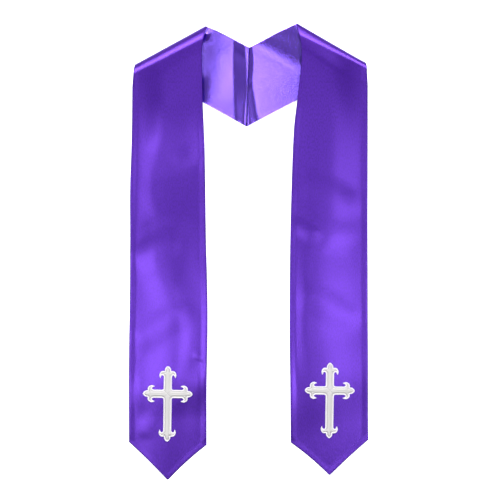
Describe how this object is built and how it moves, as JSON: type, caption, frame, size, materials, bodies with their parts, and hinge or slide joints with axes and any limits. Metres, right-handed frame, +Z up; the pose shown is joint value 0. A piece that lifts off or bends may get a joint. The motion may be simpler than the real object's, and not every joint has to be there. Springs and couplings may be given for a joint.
{
  "type": "clerical stole",
  "caption": "Long satin clerical stole laid flat: folded over at the shoulders, mitred neck seam at the back, pointed ends, an embroidered cross on each front.",
  "frame": {"origin": "bottom centre of the bounding box: on the surface that the stole lies on, midway between its sides and between its points and its shoulders", "axes": "+Y from the pointed ends towards the neck, +X across the stole to the right in the picture, +Z up off the surface"},
  "size_m": [0.3988, 0.7579, 0.0179],
  "materials": {
    "satin_face": "purple satin with a soft lengthways sheen",
    "satin_lining": "purple satin lining",
    "cross_thread": "white embroidery thread, soft sheen"
  },
  "bodies": {
    "root": {"left_face": "satin_face", "right_face": "satin_face", "left_lining": "satin_lining", "right_lining": "satin_lining", "left_cross": "cross_thread", "right_cross": "cross_thread"}
  },
  "joints": []
}
